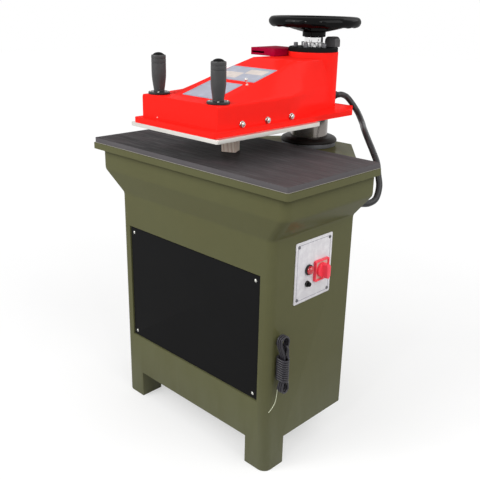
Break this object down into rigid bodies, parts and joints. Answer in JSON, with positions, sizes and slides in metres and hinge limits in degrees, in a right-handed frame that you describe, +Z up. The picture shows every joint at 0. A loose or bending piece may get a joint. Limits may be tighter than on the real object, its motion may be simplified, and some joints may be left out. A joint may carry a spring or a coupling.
{
  "type": "swing arm cutting press",
  "caption": "Free-standing hydraulic swing arm cutting press with a flared cabinet, a cutting bed, a column, a swinging arm with a strike plate, hand grips and a handwheel.",
  "frame": {"origin": "on the floor, at the middle of the machine's outline in plan", "axes": "+X to the machine's right, +Y to its rear, +Z up"},
  "size_m": [0.819, 0.7456, 1.2715],
  "materials": {
    "green_enamel": "semi-gloss",
    "red_enamel": "gloss",
    "crimson_enamel": "semi-gloss",
    "blackened_steel": "worn satin",
    "chrome": "polished",
    "bright_steel": "satin",
    "cast_iron": "satin",
    "pale_aluminium": "satin",
    "black_plastic": "gloss",
    "black_rubber": "matte",
    "black_enamel": "semi-gloss",
    "grey_plastic": "matte",
    "white_plate": "satin",
    "lamp_red": "gloss",
    "switch_red": "satin",
    "timber": "raw",
    "cord_black": "satin",
    "wire_pale": "satin",
    "motor_grey": "satin"
  },
  "bodies": {
    "frame": {"cabinet_body": "green_enamel", "table_plate": "green_enamel", "column_housing": "green_enamel", "cutting_bed": "blackened_steel", "guide_bush": "bright_steel", "cylinder_tube": "bright_steel", "pressure_pipe": "bright_steel", "return_pipe": "bright_steel", "cylinder_base": "cast_iron", "cylinder_gland": "cast_iron", "hydraulic_pump": "cast_iron", "oil_tank": "cast_iron", "valve_block": "pale_aluminium", "lamp_bezel": "black_plastic", "stop_bezel": "black_plastic", "hose_gland_cabinet": "black_plastic", "column_seal": "black_rubber", "control_hose": "black_rubber", "cord_grommet": "black_rubber", "front_panel": "black_enamel", "panel_screw_lower_left": "black_enamel", "panel_screw_lower_right": "black_enamel", "panel_screw_upper_left": "black_enamel", "panel_screw_upper_right": "black_enamel", "contactor_box": "grey_plastic", "control_plate": "white_plate", "lamp_lens": "lamp_red", "switch_frame": "switch_red", "wood_block": "timber", "cord_hank": "cord_black", "earth_wire": "wire_pale", "pump_motor": "motor_grey"},
    "ram": {"column": "chrome", "piston": "bright_steel"},
    "carrier": {"swivel_sleeve": "bright_steel", "sleeve_cap": "bright_steel"},
    "arm": {"arm_casting": "red_enamel", "strike_plate": "pale_aluminium", "top_flange": "black_enamel", "lock_ring": "bright_steel", "limit_switch": "grey_plastic", "junction_tray": "crimson_enamel", "left_grip": "black_plastic", "right_grip": "black_plastic", "left_grip_flange": "black_plastic", "right_grip_flange": "black_plastic", "hose_gland_arm": "black_plastic", "side_bolt_left_1": "chrome", "side_bolt_left_2": "chrome", "side_bolt_left_3": "chrome", "side_bolt_right_1": "chrome", "side_bolt_right_2": "chrome", "side_bolt_right_3": "chrome"},
    "left_push_button": {"left_button": "black_plastic"},
    "right_push_button": {"right_button": "black_plastic"},
    "height_wheel": {"handwheel": "black_plastic", "spindle": "bright_steel", "thrust_collar": "chrome"},
    "power_knob": {"switch_knob": "switch_red"},
    "stop_plunger": {"stop_button": "black_plastic"}
  },
  "joints": [
    {"name": "ram_stroke", "type": "slide", "parent": "frame", "child": "ram", "axis": [0, 0, 1], "range_m": [0, 0.07], "deforming": ["control_hose"]},
    {"name": "arm_height", "type": "slide", "parent": "ram", "child": "carrier", "axis": [0, 0, 1], "range_m": [0, 0.05], "deforming": ["control_hose"]},
    {"name": "arm_swing", "type": "hinge", "parent": "carrier", "child": "arm", "pos_m": [0, 0.22625, 0.9795], "axis": [0, 0, 1], "range_deg": [-60, 60], "deforming": ["control_hose"]},
    {"name": "height_wheel_turn", "type": "hinge", "parent": "arm", "child": "height_wheel", "pos_m": [0, 0.22625, 1.2565], "axis": [0, 0, 1], "range_deg": [0, 3600]},
    {"name": "left_button_press", "type": "slide", "parent": "arm", "child": "left_push_button", "axis": [0, 0, -1], "range_m": [0, 0.005], "stiffness_N_per_m": 1200, "springref_m": -0.002},
    {"name": "right_button_press", "type": "slide", "parent": "arm", "child": "right_push_button", "axis": [0, 0, -1], "range_m": [0, 0.005], "stiffness_N_per_m": 1200, "springref_m": -0.002},
    {"name": "power_knob_turn", "type": "hinge", "parent": "frame", "child": "power_knob", "pos_m": [0.3413, -0.10795, 0.5985], "axis": [1, 0, 0], "range_deg": [0, 90]},
    {"name": "stop_button_press", "type": "slide", "parent": "frame", "child": "stop_plunger", "axis": [-1, 0, 0], "range_m": [0, 0.003], "stiffness_N_per_m": 900, "springref_m": -0.002}
  ],
  "couplings": [
    {"joint": "arm_height", "follows": "height_wheel_turn", "m_per_rad": 0.00079577}
  ]
}
